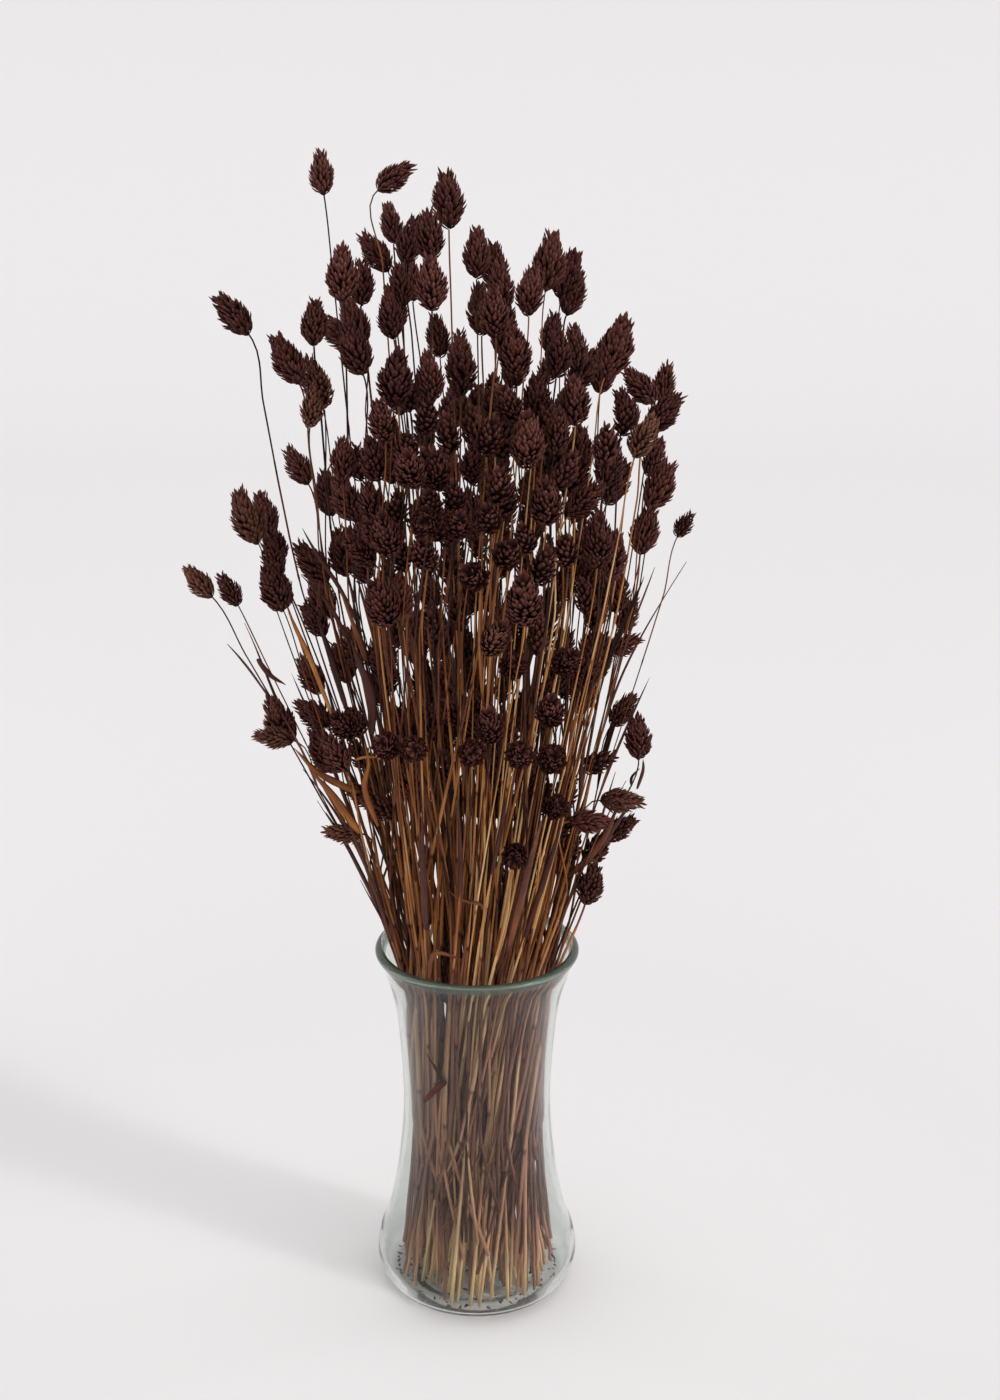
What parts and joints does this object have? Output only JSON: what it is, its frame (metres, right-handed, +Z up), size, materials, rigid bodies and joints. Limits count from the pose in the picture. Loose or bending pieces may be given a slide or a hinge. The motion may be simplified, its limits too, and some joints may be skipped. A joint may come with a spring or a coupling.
{
  "type": "dried phalaris grass in vase",
  "caption": "Upright bunch of dried dark canary grass with dense oval seed heads, fanned out of a waisted clear glass vase with a flared rim and a rounded foot.",
  "frame": {"origin": "centre of the vase's flat foot, on the surface it stands on", "axes": "+Z up along the vase's axis, -Y towards the viewer, +X to the right"},
  "size_m": [0.2621, 0.2419, 0.6174],
  "materials": {
    "glass": "gloss",
    "dried_grass": "matte"
  },
  "bodies": {
    "root": {"vase": "glass", "phalaris_sprig_01": "dried_grass", "phalaris_sprig_02": "dried_grass", "phalaris_sprig_03": "dried_grass", "phalaris_sprig_04": "dried_grass", "phalaris_sprig_05": "dried_grass", "phalaris_sprig_06": "dried_grass", "phalaris_sprig_07": "dried_grass", "phalaris_sprig_08": "dried_grass", "phalaris_sprig_09": "dried_grass", "phalaris_sprig_10": "dried_grass", "phalaris_sprig_11": "dried_grass", "phalaris_sprig_12": "dried_grass", "phalaris_sprig_13": "dried_grass", "phalaris_sprig_14": "dried_grass", "phalaris_sprig_15": "dried_grass", "phalaris_sprig_16": "dried_grass", "phalaris_sprig_17": "dried_grass", "phalaris_sprig_18": "dried_grass", "phalaris_sprig_19": "dried_grass", "phalaris_sprig_20": "dried_grass", "phalaris_sprig_21": "dried_grass", "phalaris_sprig_22": "dried_grass", "phalaris_sprig_23": "dried_grass", "phalaris_sprig_24": "dried_grass", "phalaris_sprig_25": "dried_grass", "phalaris_sprig_26": "dried_grass", "phalaris_sprig_27": "dried_grass", "phalaris_sprig_28": "dried_grass", "phalaris_sprig_29": "dried_grass", "phalaris_sprig_30": "dried_grass", "phalaris_sprig_31": "dried_grass", "phalaris_sprig_32": "dried_grass", "phalaris_sprig_33": "dried_grass", "phalaris_sprig_34": "dried_grass", "phalaris_sprig_35": "dried_grass", "phalaris_sprig_36": "dried_grass", "phalaris_sprig_37": "dried_grass", "phalaris_sprig_38": "dried_grass", "phalaris_sprig_39": "dried_grass", "phalaris_sprig_40": "dried_grass", "phalaris_sprig_41": "dried_grass", "phalaris_sprig_42": "dried_grass", "phalaris_sprig_43": "dried_grass", "phalaris_sprig_44": "dried_grass", "phalaris_sprig_45": "dried_grass", "phalaris_sprig_46": "dried_grass", "phalaris_sprig_47": "dried_grass", "phalaris_sprig_48": "dried_grass", "phalaris_sprig_49": "dried_grass", "phalaris_sprig_50": "dried_grass", "phalaris_sprig_51": "dried_grass", "phalaris_sprig_52": "dried_grass", "phalaris_sprig_53": "dried_grass", "phalaris_sprig_54": "dried_grass", "phalaris_sprig_55": "dried_grass", "phalaris_sprig_56": "dried_grass"}
  },
  "joints": []
}
